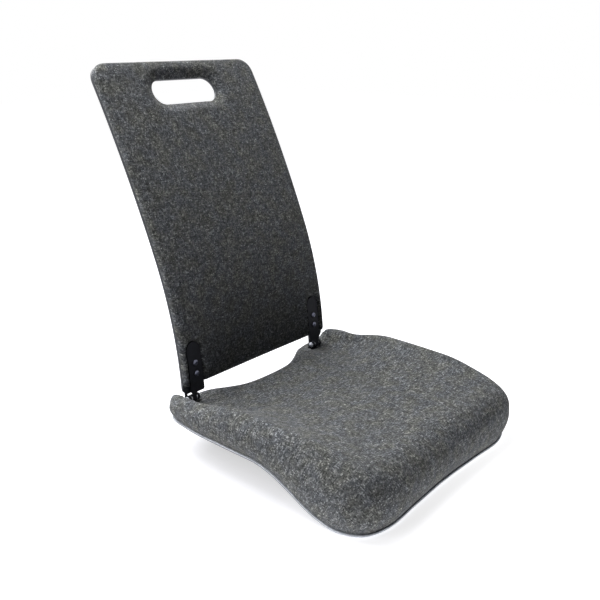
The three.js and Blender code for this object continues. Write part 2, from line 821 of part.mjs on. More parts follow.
const seat = new THREE.Group();
seat.add(
  piece('seat_shell', without(seatShell(), shellHoles), shellBlack()),
  piece('seat_foam', without(seatFoam(), [...footSpaces, ...hingeWells]), foamGrey()),
  piece('seat_cover', without(seatCover(), hingeWells), feltGrey()),
);

const backrest = new THREE.Group();
backrest.add(
  piece('back_shell', backShell(), shellBlack()),
  piece('back_foam', backFoam(), foamGrey()),
  piece('back_cover', backCover(), feltGrey()),
);

const hinges = new THREE.Group();
for (const [side, hand] of [['left', -1], ['right', 1]]) {
  const x = hand * hingeX;
  backrest.add(piece(`back_strap_${side}`, backStrap(hand), steelBlack()));
  for (const [place, height] of [['lower', lowerScrewHeight], ['upper', upperScrewHeight]]) {
    backrest.add(
      piece(`strap_screw_${place}_${side}`, strapScrew(hand * screwX, height), steelBlack()),
      piece(`strap_nut_${place}_${side}`, strapNut(hand * screwX, height), zincBright()),
    );
  }
  hinges.add(
    piece(`seat_bracket_${side}`, seatBracket(x), steelBlack()),
    piece(`hinge_pin_${side}`, hingePin(x), zincBright()),
    piece(`hinge_washer_inner_${side}`, hingeWasher(x, -Math.sign(x)), zincBright()),
    piece(`hinge_washer_outer_${side}`, hingeWasher(x, Math.sign(x)), zincBright()),
    piece(`bracket_rivet_front_${side}`, bracketRivet(x, -footRivetFront), zincBright()),
    piece(`bracket_rivet_rear_${side}`, bracketRivet(x, -footRivetRear), zincBright()),
  );
}
backrest.position.set(0, hingeY, hingeHeight);
hinges.position.set(0, hingeY, hingeHeight);

const chair = new THREE.Group();
chair.add(seat, hinges, backrest);

export default chair;
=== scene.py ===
# %% [markdown]
# # A folding floor chair
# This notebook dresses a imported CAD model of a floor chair: a dished seat on a moulded shell, and a slim
# curved backrest that folds over it on two steel hinges. The CAD model is loaded first and never changes.
# The upholstery and the shells are then worked out again as finer surfaces from the same sizes.

import bmesh
import bpy
import numpy as np
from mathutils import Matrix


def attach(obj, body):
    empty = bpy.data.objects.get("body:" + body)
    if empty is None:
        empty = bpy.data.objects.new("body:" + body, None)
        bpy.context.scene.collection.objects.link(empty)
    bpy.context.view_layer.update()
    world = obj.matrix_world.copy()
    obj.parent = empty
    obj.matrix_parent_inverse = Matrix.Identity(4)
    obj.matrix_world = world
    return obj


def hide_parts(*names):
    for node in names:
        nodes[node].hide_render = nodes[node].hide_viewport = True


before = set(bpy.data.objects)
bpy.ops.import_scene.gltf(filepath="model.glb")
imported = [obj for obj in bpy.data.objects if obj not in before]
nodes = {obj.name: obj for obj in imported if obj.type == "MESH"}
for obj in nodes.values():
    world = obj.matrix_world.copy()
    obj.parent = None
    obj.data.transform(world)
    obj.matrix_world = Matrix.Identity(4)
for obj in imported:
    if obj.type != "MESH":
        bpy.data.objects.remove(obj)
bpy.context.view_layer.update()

# %% [markdown]
# ## Camera
# The camera is made first. It stands low, a little over half a metre above the floor, to the left of the
# chair's front, and looks down on it by 19 degrees. Its place, turn and lens follow from the chair's
# corners.

# %% Camera
camera_data = bpy.data.cameras.new("camera")
camera_data.sensor_width = 36.0
camera_data.lens = 46.2
camera = bpy.data.objects.new("camera", camera_data)
camera.location = (-0.8309, -0.6335, 0.5831)
camera.rotation_euler = np.radians((71.016, 0.0, -49.002))
bpy.context.scene.collection.objects.link(camera)
bpy.context.scene.camera = camera
print("lens:", camera_data.lens, "mm")

# %% [markdown]
# ## Small helpers
# Sizes are written in millimetres, as on a drawing, and become metres when a mesh is made. One function
# adds any shader node with its settings and links, and one turns a written colour into linear light.

# %% Units, colours and nodes
MM = 0.001


def linear(code):
    """sRGB hex to linear light, alpha 1: c becomes c/12.92, or above 0.04045 ((c+0.055)/1.055)^2.4."""
    channels = np.array([int(code[i : i + 2], 16) for i in (1, 3, 5)]) / 255
    light = np.where(channels <= 0.04045, channels / 12.92, ((channels + 0.055) / 1.055) ** 2.4)
    return (*light.tolist(), 1.0)


def add(tree, kind, inputs=None, stops=(), **settings):
    """Adds one node and returns its outputs. inputs are its sockets, as values or as links, stops the
    (place, hex) pairs of a colour ramp, and settings the node's own properties."""
    node = tree.nodes.new("ShaderNode" + kind)
    for key, value in settings.items():
        setattr(node, key, value)
    for key, value in (inputs or {}).items():
        if isinstance(value, bpy.types.NodeSocket):
            tree.links.new(value, node.inputs[key])
        else:
            node.inputs[key].default_value = value
    for stop in stops[2:]:
        node.color_ramp.elements.new(stop[0])
    for index, (place, code) in enumerate(stops):
        element = node.color_ramp.elements[index]
        element.position, element.color = place, linear(code)
    return node.outputs


def new_material(name):
    """An empty material: returns the material and its tree."""
    made = bpy.data.materials.new(name)
    made.use_nodes = True
    made.node_tree.nodes.clear()
    return made, made.node_tree


def new_object(name, data):
    """Puts a mesh or a lamp into the scene as an object."""
    made = bpy.data.objects.new(name, data)
    bpy.context.scene.collection.objects.link(made)
    return made


# %% [markdown]
# ## Surfaces from arrays
# A closed body is a stack of rings, each with the same number of points. Faces join each ring to the
# next, and the two ends are either closed with a fan or, for a body with a hole, joined to each other.

# %% Meshes from rings


def ease(start, end, value):
    """Smooth step: with t = (value-start)/(end-start) held between 0 and 1, the result is t*t*(3-2t)."""
    t = np.clip((value - start) / (end - start), 0, 1)
    return t * t * (3 - 2 * t)


def quarter(distance, width):
    """Quarter round: with t = 1 - distance/width held between 0 and 1, the height is sqrt(1-t*t)."""
    t = 1 - np.clip(distance / width, 0, 1)
    return np.sqrt(1 - t * t)


def ring_faces(count, around, loop):
    """Quads between neighbouring rings: corner (r, i), (r, i+1), (r+1, i+1), (r+1, i)."""
    rows = np.arange(count if loop else count - 1)[:, None]
    i = np.arange(around)[None, :]
    j = (i + 1) % around
    below = (rows + 1) % count
    quads = [rows * around + i, rows * around + j, below * around + j, below * around + i]
    return np.stack(quads, -1).reshape(-1, 4)


def ring_body(name, rings, loop=False, cloth=None):
    """A closed mesh, facing outwards, from an array of rings (rings, points, xyz) in millimetres.
    loop joins the last ring to the first; otherwise a fan to the mean point closes each end.
    cloth is an array (rings, points, 2) of cloth coordinates in millimetres, kept as a UV map."""
    count, around = rings.shape[:2]
    points = rings.reshape(-1, 3)
    faces = ring_faces(count, around, loop).tolist()
    flat = None if cloth is None else cloth.reshape(-1, 2)
    if not loop:
        i = np.arange(around)
        j = (i + 1) % around
        last = (count - 1) * around
        first_middle = len(points)
        points = np.vstack([points, rings[0].mean(0), rings[-1].mean(0)])
        faces += np.stack([j, i, np.full(around, first_middle)], -1).tolist()
        faces += np.stack([last + i, last + j, np.full(around, first_middle + 1)], -1).tolist()
        if flat is not None:
            flat = np.vstack([flat, cloth[0].mean(0), cloth[-1].mean(0)])
    mesh = bpy.data.meshes.new(name)
    mesh.from_pydata((points * MM).tolist(), [], faces)
    if flat is not None:
        corners = np.empty(len(mesh.loops), np.int32)
        mesh.loops.foreach_get("vertex_index", corners)
        mesh.uv_layers.new(name="cloth").data.foreach_set("uv", (flat[corners] * MM).ravel())
    mesh.polygons.foreach_set("use_smooth", np.ones(len(mesh.polygons), bool))
    mesh.update()
    made = new_object(name, mesh)
    face_outwards(made)
    return made


def signed_volume(made):
    """Volume inside a mesh, negative where its faces point inwards: sum of a.(b x c)/6 over triangles."""
    mesh = made.data
    mesh.calc_loop_triangles()
    corners = np.empty(len(mesh.loop_triangles) * 3, np.int32)
    mesh.loop_triangles.foreach_get("vertices", corners)
    points = np.empty(len(mesh.vertices) * 3)
    mesh.vertices.foreach_get("co", points)
    a, b, c = points.reshape(-1, 3)[corners].reshape(-1, 3, 3).transpose(1, 0, 2)
    return float(np.einsum("ij,ij->", a, np.cross(b, c)) / 6)


def face_outwards(made):
    """Turns every face round where the body came out inside out."""
    if signed_volume(made) < 0:
        made.data.flip_normals()
    litres = round(signed_volume(made) * 1000, 3)
    print(made.name, "faces:", len(made.data.polygons), "litres:", litres)


# %% [markdown]
# ## Seat: outline
# In plan the seat is a rounded square with two ears at the rear and a cut-out between them. A closed
# centripetal Catmull-Rom curve runs through a few given points, so that the corners stay round.

# %% Seat outline
SEAT_HALF = 201.0
FRONT_REACH = 189.0
EAR_REACH = 199.0
CUTOUT_DEPTH = 39.0
CUTOUT_HALF = 92.0
CUTOUT_Y = EAR_REACH - CUTOUT_DEPTH
CUTOUT_SHARES = [[0, 0.03], [0.6, 0.14], [0.94, 0.45], [1.26, 0.85]]
EAR_SHARES = [[0.75, 1], [0.93, 0.9], [0.985, 0.68], [1, 0.25]]
FRONT_SHARES = [[0.995, 0.33], [1, 0.6], [0.985, 0.8], [0.915, 0.93], [0.74, 1], [0.4, 0.995], [0, 0.985]]
STEPS_PER_SPAN = 9


def closed_curve(points, steps):
    """Closed centripetal Catmull-Rom: each span is a cubic through its two ends, whose end slopes come
    from the neighbours at knot distances |p-q|^0.5, evaluated at the given number of steps."""
    p0, p1, p2, p3 = (np.roll(points, k, axis=0) for k in (1, 0, -1, -2))
    pairs = ((p0, p1), (p1, p2), (p2, p3))
    d0, d1, d2 = (np.sqrt(np.linalg.norm(b - a, axis=1))[:, None] for a, b in pairs)
    slope1 = ((p1 - p0) / d0 - (p2 - p0) / (d0 + d1) + (p2 - p1) / d1) * d1
    slope2 = ((p2 - p1) / d1 - (p3 - p1) / (d1 + d2) + (p3 - p2) / d2) * d1
    t = (np.arange(steps) / steps)[None, :, None]
    a, b, c, d = (x[:, None, :] for x in (p1, slope1, p2, slope2))
    curve = a + b * t + (3 * (c - a) - 2 * b - d) * t**2 + (2 * (a - c) + b + d) * t**3
    return curve.reshape(-1, points.shape[1])


right_half = np.array(
    [[x * CUTOUT_HALF, CUTOUT_Y + y * CUTOUT_DEPTH] for x, y in CUTOUT_SHARES]
    + [[x * SEAT_HALF, y * EAR_REACH] for x, y in EAR_SHARES]
    + [[x * SEAT_HALF, -y * FRONT_REACH] for x, y in FRONT_SHARES]
)
left_half = right_half[1:-1][::-1] * (-1, 1)
outline = closed_curve(np.vstack([right_half, left_half]), STEPS_PER_SPAN)
print("outline points:", len(outline))

# %% [markdown]
# ## Seat: heights
# The cushion is lowest in the middle at the rear and rises to both sides. Its edge rolls over, steeply at
# the rear and in a long waterfall at the front, and draws in a little down to the shell's rim.

# %% Seat heights
REAR_HEIGHT, THIGH_HEIGHT = 65.4, 80.0
CREST_HEIGHT, CREST_REAR_FALL, CREST_FRONT_FALL = 103.0, 17.0, 21.0
CREST_HALF = 176.0
CREST_POWER, CREST_REAR_POWER = 3.2, 26.0
DENT_DEPTH, DENT_RADIUS, DENT_X, DENT_Y = 7.0, 44.0, 138.0, 176.0
# Where along Y each change starts and ends.
THIGH_SPAN, CREST_REAR_SPAN, CREST_FRONT_SPAN, POWER_SPAN = (120, -90), (45, 140), (-50, -190), (50, 135)
FRONT_SPAN, REAR_SPAN, RIM_SPAN = (-70, -165), (120, 160), (-147, 6)
SIDE_ROLL, FRONT_ROLL, REAR_ROLL = 36.0, 46.0, 18.0
ROLL_DEPTH_SHARE = 0.45
SIDE_BULGE, SIDE_DRAW, FRONT_DRAW = 2.0, 4.0, 9.0
SIDE_RIM, FRONT_RIM, REAR_DIP = 52.0, 4.5, 20.0
DIP_START, DIP_END = CUTOUT_HALF * 0.5, CUTOUT_HALF * 1.2


def seat_top(x, y):
    """Height of the cushion before its edge rolls: base(y) + rise(x, y) - dent(x, y), where the rise is
    the crest's height above the base times (|x|/crest half width)^power, and the dent is a smooth dish."""
    base = REAR_HEIGHT + (THIGH_HEIGHT - REAR_HEIGHT) * ease(*THIGH_SPAN, y)
    crest = CREST_HEIGHT - CREST_REAR_FALL * ease(*CREST_REAR_SPAN, y)
    crest = crest - CREST_FRONT_FALL * ease(*CREST_FRONT_SPAN, y)
    power = CREST_POWER + (CREST_REAR_POWER - CREST_POWER) * ease(*POWER_SPAN, y)
    rise = np.maximum(crest - base, 0) * np.minimum(np.abs(x) / CREST_HALF, 1) ** power
    away = np.hypot(np.abs(x) - DENT_X, y - DENT_Y)
    return base + rise - DENT_DEPTH * (1 - ease(0, DENT_RADIUS, away))


def rim_top(x, y):
    """Height of the shell's rim: low at the front, high at the sides, and dipped behind the middle."""
    back = ease(*RIM_SPAN, y)
    dip = REAR_DIP * (1 - ease(DIP_START, DIP_END, np.abs(x))) * ease(0, CUTOUT_Y, y)
    return FRONT_RIM + (SIDE_RIM - FRONT_RIM) * back - dip


edge_length = np.linalg.norm(outline, axis=1)
edge_way = outline / edge_length[:, None]
frontness = ease(*FRONT_SPAN, outline[:, 1])
rearness = ease(*REAR_SPAN, outline[:, 1])
roll_width = SIDE_ROLL + (FRONT_ROLL - SIDE_ROLL) * frontness + (REAR_ROLL - SIDE_ROLL) * rearness
edge_rim = rim_top(outline[:, 0], outline[:, 1])
roll_depth = ROLL_DEPTH_SHARE * (seat_top(outline[:, 0], outline[:, 1]) - edge_rim)
draw_in = SIDE_DRAW + (FRONT_DRAW - SIDE_DRAW) * frontness
print("rim heights:", round(edge_rim.min(), 1), "to", round(edge_rim.max(), 1))

# %% [markdown]
# ## Seat: cushion
# The real cushion is a moulded foam block with its fabric pulled tight over it. Its whole skin is one
# stack of rings: out over the top, round the roll, down the side, and back in along the shell.

# %% Seat cushion rings
HEM = 2.2
SHELL_THICKNESS = 3.0
GAP = 0.3
SOLE_HALF, SOLE_REAR, SOLE_FRONT, SOLE_POWER = 82.0, 112.0, 150.0, 3.0
FLARE_SHARE = 0.5
TOP_RINGS, ROLL_RINGS, SIDE_RINGS, HEM_RINGS, UNDER_RINGS = 44, 15, 10, 5, 19
FIRST_SHARE, UNDER_SHARES = 0.02, (0.95, 0.05)


def on_edge(distance):
    """Points of the outline moved in towards the middle by a distance."""
    return edge_way * (edge_length - distance)[:, None]


def shell_top(points):
    """Height of the shell's upper face: a flat sole, then an eased flare up to the rim. The sole's
    reach along a ray is a superellipse: ((c/half)^3 + (s/length)^3)^(-1/3)."""
    reach = np.linalg.norm(points, axis=-1)
    length = np.where(points[..., 1] > 0, SOLE_REAR, SOLE_FRONT)
    c, s = np.abs(edge_way).T
    sole = ((c / SOLE_HALF) ** SOLE_POWER + (s / length) ** SOLE_POWER) ** (-1 / SOLE_POWER)
    end = sole + (edge_length - sole) * FLARE_SHARE
    return SHELL_THICKNESS + (edge_rim - SHELL_THICKNESS) * ease(sole, end, reach)


def with_height(plan, height):
    """Joins plan points and heights into one ring."""
    return np.concatenate([plan, np.broadcast_to(height, plan.shape[:-1])[..., None]], -1)


seat_rings = []
for share in np.linspace(FIRST_SHARE, 1.0, TOP_RINGS)[:-1]:
    plan = edge_way * ((edge_length - roll_width) * share)[:, None]
    seat_rings.append(with_height(plan, seat_top(plan[:, 0], plan[:, 1])))
for angle in np.linspace(0, np.pi / 2, ROLL_RINGS):
    plan = on_edge(roll_width * (1 - np.sin(angle)))
    height = seat_top(plan[:, 0], plan[:, 1]) - roll_depth * (1 - np.cos(angle))
    seat_rings.append(with_height(plan, height))
shoulder = seat_top(outline[:, 0], outline[:, 1]) - roll_depth
hem_base = edge_rim + GAP
for t in np.linspace(0, 1, SIDE_RINGS)[1:]:
    plan = on_edge(draw_in * t * t - SIDE_BULGE * np.sin(np.pi * t))
    seat_rings.append(with_height(plan, shoulder + (hem_base + HEM - shoulder) * t))
for angle in np.linspace(0, np.pi / 2, HEM_RINGS)[1:]:
    plan = on_edge(draw_in + HEM * (1 - np.cos(angle)))
    seat_rings.append(with_height(plan, hem_base + HEM * (1 - np.sin(angle))))
for share in np.linspace(*UNDER_SHARES, UNDER_RINGS):
    plan = edge_way * ((edge_length - draw_in - HEM) * share)[:, None]
    seat_rings.append(with_height(plan, shell_top(plan) + GAP))
seat_rings = np.array(seat_rings)

# A cloth coordinate is the length of thread from the middle, so the weave keeps its size over the roll.
steps = np.linalg.norm(np.diff(seat_rings, axis=0), axis=2)
reach = np.vstack([np.linalg.norm(seat_rings[0][:, :2], axis=1), steps]).cumsum(0)
seat_cloth = reach[..., None] * edge_way[None]
seat_cushion = ring_body("seat_cushion", seat_rings, cloth=seat_cloth)

# %% [markdown]
# ## Seat: room for the brackets
# Each steel bracket lies with its foot between shell and cover, and its upright comes out through a slit.
# A boolean cut with two small blocks leaves that room, so that steel and fabric stay clear of each other.

# %% Bracket room in the seat
HINGE_X, HINGE_Y, HINGE_Z = 143.5, 178.0, 66.0
BRACKET_WIDTH = 20.0
FOOT_ROOM, WELL_ROOM = 1.2, 3.3
ROOM_LOW, ROOM_REAR = 20, HINGE_Y + 8.2
FOOT_FRONT, FOOT_HIGH = 140.8, 57.6
WELL_FRONT, WELL_HIGH = HINGE_Y - 6.7, 96


def block(name, low, high):
    """A box between two corners in millimetres, used only as a cutter."""
    corners = np.array([low, high]) * MM
    points = [(corners[i][0], corners[j][1], corners[k][2]) for i in (0, 1) for j in (0, 1) for k in (0, 1)]
    faces = [(0, 1, 3, 2), (4, 6, 7, 5), (0, 4, 5, 1), (2, 3, 7, 6), (0, 2, 6, 4), (1, 5, 7, 3)]
    mesh = bpy.data.meshes.new(name)
    mesh.from_pydata(points, [], faces)
    return new_object(name, mesh)


def combine(target, tool, operation):
    """Applies one exact boolean to the target and removes the tool."""
    modifier = target.modifiers.new(operation, "BOOLEAN")
    modifier.operation = operation
    modifier.solver = "EXACT"
    modifier.object = tool
    with bpy.context.temp_override(object=target):
        bpy.ops.object.modifier_apply(modifier=modifier.name)
    bpy.data.objects.remove(tool)


for side in (-1, 1):
    x = side * HINGE_X
    half = BRACKET_WIDTH / 2 + FOOT_ROOM
    foot = block("foot_room", (x - half, FOOT_FRONT, ROOM_LOW), (x + half, ROOM_REAR, FOOT_HIGH))
    combine(seat_cushion, foot, "DIFFERENCE")
    half = BRACKET_WIDTH / 2 + WELL_ROOM
    well = block("hinge_room", (x - half, WELL_FRONT, ROOM_LOW), (x + half, ROOM_REAR, WELL_HIGH))
    combine(seat_cushion, well, "DIFFERENCE")
print("seat cushion faces:", len(seat_cushion.data.polygons))

# %% [markdown]
# ## Seat: shell
# Under the cushion is a thin moulded shell. Its edge stands 1.8 mm proud of the fabric's hem all round and
# shows as a fine pale line, so its rim is a half round. An attribute marks the rim for a pale colour, partly
# the trimmed edge and partly painted light: the upper half of the rim at the sides, which is also a painted
# highlight, and at the front the lower half too, which is a painted reflection in the rim's shade.

# %% Seat shell
RIM_PROUD = 1.8
SHELL_SHARES, SHELL_RINGS, LIP_RINGS = (0.04, 0.96), 24, 9


def shell_rings():
    """Upper face out to the rim, half a circle round the rim, and the lower face back to the middle."""
    radius = SHELL_THICKNESS / 2
    shares = np.linspace(*SHELL_SHARES, SHELL_RINGS)
    insets = draw_in - RIM_PROUD + radius
    plans = [edge_way * ((edge_length - insets) * share)[:, None] for share in shares]
    upper = [with_height(plan, shell_top(plan)) for plan in plans]
    lower = [with_height(plan, shell_top(plan) - SHELL_THICKNESS) for plan in plans[::-1]]
    lip = []
    for angle in np.linspace(0, np.pi, LIP_RINGS):
        plan = on_edge(insets - radius * np.sin(angle))
        lip.append(with_height(plan, edge_rim - radius + radius * np.cos(angle)))
    return np.array(upper + lip + lower)


rings = shell_rings()
seat_shell = ring_body("seat_shell_moulded", rings)
around = rings.shape[1]
lip_start, lip_middle, lip_end = SHELL_RINGS, SHELL_RINGS + LIP_RINGS // 2, SHELL_RINGS + LIP_RINGS
# Pale rim: the trimmed edge, with a painted highlight on the upper half and a painted reflection on the
# front's shaded lower half.
rim_pale_and_highlight = np.zeros(len(seat_shell.data.vertices), np.float32)
rim_pale_and_highlight[lip_start * around : lip_middle * around] = 1
rim_pale_and_highlight[lip_middle * around : lip_end * around] = np.tile(frontness, lip_end - lip_middle)
seat_shell.data.attributes.new("pale_edge_and_highlight", "FLOAT", "POINT").data.foreach_set("value", rim_pale_and_highlight)

# %% [markdown]
# ## Backrest: the panel's curve
# Seen from the side the panel starts almost upright, bends back through the lumbar part, and runs on in
# a gentler curve. A place on it is given by its distance across, its height along the curve, and how far
# it lies behind the hinge's axis, measured square to the panel.

# %% Backrest curve
BACK_HALF = 161.0
LEAN = np.radians(4.0)
PANEL_START, LUMBAR, UPPER = 21.0, 198.0, 295.0
LUMBAR_RADIUS, UPPER_RADIUS = 620.0, 2030.0
PANEL_END = PANEL_START + LUMBAR + UPPER
SHELL_FRONT, SHELL_BACK = -0.8, 4.2
CORNER_RADIUS = 26.0
LOWER_CORNER = 6.0
ARCH_RISE, ARCH_HALF = 2.5, 141.0
SLOT_DROP = 50.0
SLOT_LENGTH, SLOT_HEIGHT, SLOT_CENTRE = 129.0, 41.0, PANEL_END - SLOT_DROP


def on_back(x, height, back):
    """Point of the backrest: a straight part, an arc of the lumbar radius and an arc of the upper one.
    An arc of length l and radius r turns by l/r, moves r(cos a - cos(a+l/r)) back and
    r(sin(a+l/r) - sin a) up. The last value then moves it square to the panel."""
    x, height, back = np.broadcast_arrays(x, height, back)
    straight = np.minimum(height, PANEL_START)
    y, z, lean = np.sin(LEAN) * straight, np.cos(LEAN) * straight, np.full(height.shape, LEAN)
    spans = (
        (np.clip(height - PANEL_START, 0, LUMBAR), LUMBAR_RADIUS),
        (np.maximum(height - PANEL_START - LUMBAR, 0), UPPER_RADIUS),
    )
    for length, radius in spans:
        turned = lean + length / radius
        y = y + radius * (np.cos(lean) - np.cos(turned))
        z = z + radius * (np.sin(turned) - np.sin(lean))
        lean = turned
    return np.stack([x, HINGE_Y + y + back * np.cos(lean), HINGE_Z + z - back * np.sin(lean)], -1)


print("backrest top:", on_back(0.0, PANEL_END, 0.0).round(1))

# %% [markdown]
# ## Backrest: outline, slot and the rays between them
# The panel has a hole, so its skin is a ring: rays run from the rim of the hand slot to the outline, and
# the surface goes out along them on the front and comes back on the rear. Points crowd where edges roll.

# %% Backrest rays
RAYS = 400
CORNER_POINTS, ARCH_POINTS, HALVINGS = 14, 61, 40
EDGE_STEPS = np.array([0, 0.06, 0.25, 0.55, 1, 1.6, 2.4, 3.5, 5, 7, 9.5, 12.5])


def panel_outline(inset):
    """The panel's outline in (across, height), walked at even steps: straight sides, two round top
    corners, and an arched lower edge of the form rise*(1-(x/half)^2)."""
    half, top, radius = BACK_HALF - inset, PANEL_END - inset, CORNER_RADIUS - inset
    turn = np.linspace(0, np.pi / 2, CORNER_POINTS)
    right = np.stack([half - radius + radius * np.cos(turn), top - radius + radius * np.sin(turn)], -1)
    left = right[::-1] * (-1, 1)
    across = np.linspace(-half, half, ARCH_POINTS)
    arch = PANEL_START + inset + ARCH_RISE * np.maximum(1 - (across / ARCH_HALF) ** 2, 0)
    corners = np.vstack([right, left, np.stack([across, arch], -1)])
    closed = np.vstack([corners, corners[:1]])
    walk = np.concatenate([[0], np.linalg.norm(np.diff(closed, axis=0), axis=1).cumsum()])
    places = np.linspace(0, walk[-1], RAYS, endpoint=False)
    return np.stack([np.interp(places, walk, closed[:, k]) for k in (0, 1)], -1)


def slot_distance(x, height):
    """Distance outside the hand slot: from the slot's middle line, less its radius."""
    straight = SLOT_LENGTH / 2 - SLOT_HEIGHT / 2
    beyond = np.maximum(np.abs(x) - straight, 0)
    return np.hypot(beyond, height - SLOT_CENTRE) - SLOT_HEIGHT / 2


def slot_points(targets, widened=0.0):
    """Where a ray from the slot's centre to each target crosses the slot's rim, found by halving."""
    centre = np.array([0, SLOT_CENTRE])
    near, far = np.zeros(len(targets)), np.ones(len(targets))
    for _ in range(HALVINGS):
        middle = (near + far) / 2
        p = centre + (targets - centre) * middle[:, None]
        outside = slot_distance(p[:, 0], p[:, 1]) > widened
        far = np.where(outside, middle, far)
        near = np.where(outside, near, middle)
    return centre + (targets - centre) * near[:, None]


def inside_panel(x, height, inset):
    """Distance in from the panel's outline: that of a box with round corners, larger ones at the top."""
    half = BACK_HALF - inset
    middle = (PANEL_START + PANEL_END) / 2
    reach_up = (PANEL_END - PANEL_START) / 2 - inset
    radius = CORNER_RADIUS - inset
    corner = np.where(height > middle, radius, LOWER_CORNER)
    dx = np.abs(x) - half + corner
    dy = np.abs(height - middle) - reach_up + corner
    return corner - np.hypot(np.maximum(dx, 0), np.maximum(dy, 0)) - np.minimum(np.maximum(dx, dy), 0)


def ray_shares(inner, outer, middle_count):
    """Shares along each ray: fixed distances from both ends, and even steps between them."""
    length = np.linalg.norm(outer - inner, axis=1)[:, None]
    near = EDGE_STEPS / length
    far = 1 - EDGE_STEPS[::-1] / length
    t = np.linspace(0, 1, middle_count + 2)[1:-1]
    middle = near[:, -1:] + (far[:, :1] - near[:, -1:]) * t
    return np.hstack([near, middle, far]).T


print("rays:", RAYS, "shortest distance from slot to top, mm:", SLOT_DROP - SLOT_HEIGHT / 2)

# %% [markdown]
# ## Backrest: cushion
# A thin foam pad covers the front of the panel. Its edges roll over, it slopes down all round the slot
# where fingers reach in, and the steel straps press it flat where they are screwed down.

# %% Backrest cushion
PAD_HEIGHT, PAD_EDGE = 9.0, 5.0
PAD_ROLL, SLOT_ROLL, SLOT_EDGE = 18.0, 18.5, 0.8
PAD_INSET = 0.4
EDGE_ROUND = 3.5
SCREW_X, STRAP_WIDTH, STRAP_LENGTH = 136.5, 26.0, 87.0
PRESSED_PAD, PRESS_START, PRESS_END = 1.6, 1.4, 8.0
PAD_RINGS, REAR_STEP = 74, 3


def strap_distance(x, height):
    """Distance from the strap's outline, a bar with a round top, negative inside it."""
    half = STRAP_WIDTH / 2
    top = STRAP_LENGTH - half
    return np.hypot(np.abs(x) - SCREW_X, np.maximum(height - top, 0)) - half


def pad_thickness(x, height):
    """Thickness of the pad: edge*q(d, round) + (full-edge)*q(d, roll) at the outline, where q is the
    quarter round and d the distance in. It is at most the slot's dish, a small round edge and then a
    sine arch, and is pressed down at a strap."""
    rim = np.maximum(inside_panel(x, height, PAD_INSET), 0)
    full = PAD_EDGE * quarter(rim, EDGE_ROUND) + (PAD_HEIGHT - PAD_EDGE) * quarter(rim, PAD_ROLL)
    gap = np.maximum(slot_distance(x, height), 0)
    dish = np.sin(np.pi / 2 * np.clip(gap / SLOT_ROLL, 0, 1))
    full = np.minimum(full, SLOT_EDGE * quarter(gap, SLOT_EDGE) + (PAD_HEIGHT - SLOT_EDGE) * dish)
    pressed = ease(PRESS_START, PRESS_END, strap_distance(x, height))
    return np.minimum(full, PRESSED_PAD + (PAD_HEIGHT + PAD_EDGE) * pressed)


outer = panel_outline(PAD_INSET)
inner = slot_points(outer)
shares = ray_shares(inner, outer, PAD_RINGS)
plan = inner[None] + (outer - inner)[None] * shares[..., None]
x, height = plan[..., 0], plan[..., 1]
front = on_back(x, height, SHELL_FRONT - GAP - pad_thickness(x, height))
rear_plan = plan[::-REAR_STEP][1:-1]
rear = on_back(rear_plan[..., 0], rear_plan[..., 1], SHELL_FRONT - GAP)
steps = np.linalg.norm(np.diff(front, axis=0), axis=2)
reach = np.vstack([np.zeros(RAYS), steps]).cumsum(0)
half_way = len(front) // 2
ray_way = (outer - inner) / np.linalg.norm(outer - inner, axis=1)[:, None]
front_cloth = plan[half_way] + ray_way * (reach - reach[half_way])[..., None]
back_cushion = ring_body(
    "back_cushion",
    np.concatenate([front, rear]),
    loop=True,
    cloth=np.concatenate([front_cloth, rear_plan]),
)

# %% [markdown]
# ## Backrest: shell
# Behind the pad is a moulded panel 5 mm thick with softly rounded edges. Its two short legs at the bottom
# are made as blocks and joined to it.

# %% Backrest shell
SHELL_ROUND = 1.4
PANEL_RINGS, ROUND_RINGS = 60, 5
outer = panel_outline(SHELL_ROUND)
inner = slot_points(outer, SHELL_ROUND)
shares = np.linspace(0, 1, PANEL_RINGS)[:, None]
plan = inner[None] + (outer - inner)[None] * shares[..., None]


def edge_round(base, sign):
    """Rings round an edge: quarter circle, wall and quarter circle between the two faces. They lean out
    square to the edge. Sign 1 is the outline, front to rear, and -1 the slot, rear to front."""
    along = np.roll(base, -1, 0) - np.roll(base, 1, 0)
    normal = sign * np.stack([along[:, 1], -along[:, 0]], -1)
    normal /= np.linalg.norm(normal, axis=1)[:, None]
    angles = np.linspace(0, np.pi / 2, ROUND_RINGS)[1:]
    made = []
    for face, way, turns in ((SHELL_FRONT, 1, angles), (SHELL_BACK, -1, angles[::-1])):
        for angle in turns:
            p = base + normal * (SHELL_ROUND * np.sin(angle))
            made.append(on_back(p[:, 0], p[:, 1], face + way * SHELL_ROUND * (1 - np.cos(angle))))
    return made[::sign]


front = list(on_back(plan[..., 0], plan[..., 1], SHELL_FRONT))
rear = list(on_back(plan[::-1, :, 0], plan[::-1, :, 1], SHELL_BACK))
rings = front + edge_round(outer, 1) + rear + edge_round(inner, -1)
back_shell = ring_body("back_shell_moulded", np.array(rings), loop=True)

LEG_WIDTH, LEG_END, LEG_ROUND, LEG_OVERLAP = 20.0, 10.0, 9.0, 6.0
LEG_POINTS = 7
LEG_BEVEL = SHELL_ROUND * 0.6


def leg_outline(side):
    """A leg in (across, height): straight sides that reach into the panel, and two round corners."""
    inner, outer = BACK_HALF - LEG_WIDTH, BACK_HALF
    turn = np.linspace(0, np.pi / 2, LEG_POINTS)
    sweep = LEG_ROUND * np.stack([np.cos(turn), np.sin(turn)], -1)
    low = LEG_END + LEG_ROUND
    right = np.stack([outer - LEG_ROUND + sweep[:, 0], low - sweep[:, 1]], -1)
    left = np.stack([inner + LEG_ROUND - sweep[::-1, 0], low - sweep[::-1, 1]], -1)
    top = PANEL_START + LEG_OVERLAP
    points = np.vstack([[[outer, top]], right, left, [[inner, top]]])
    return points * (side, 1)


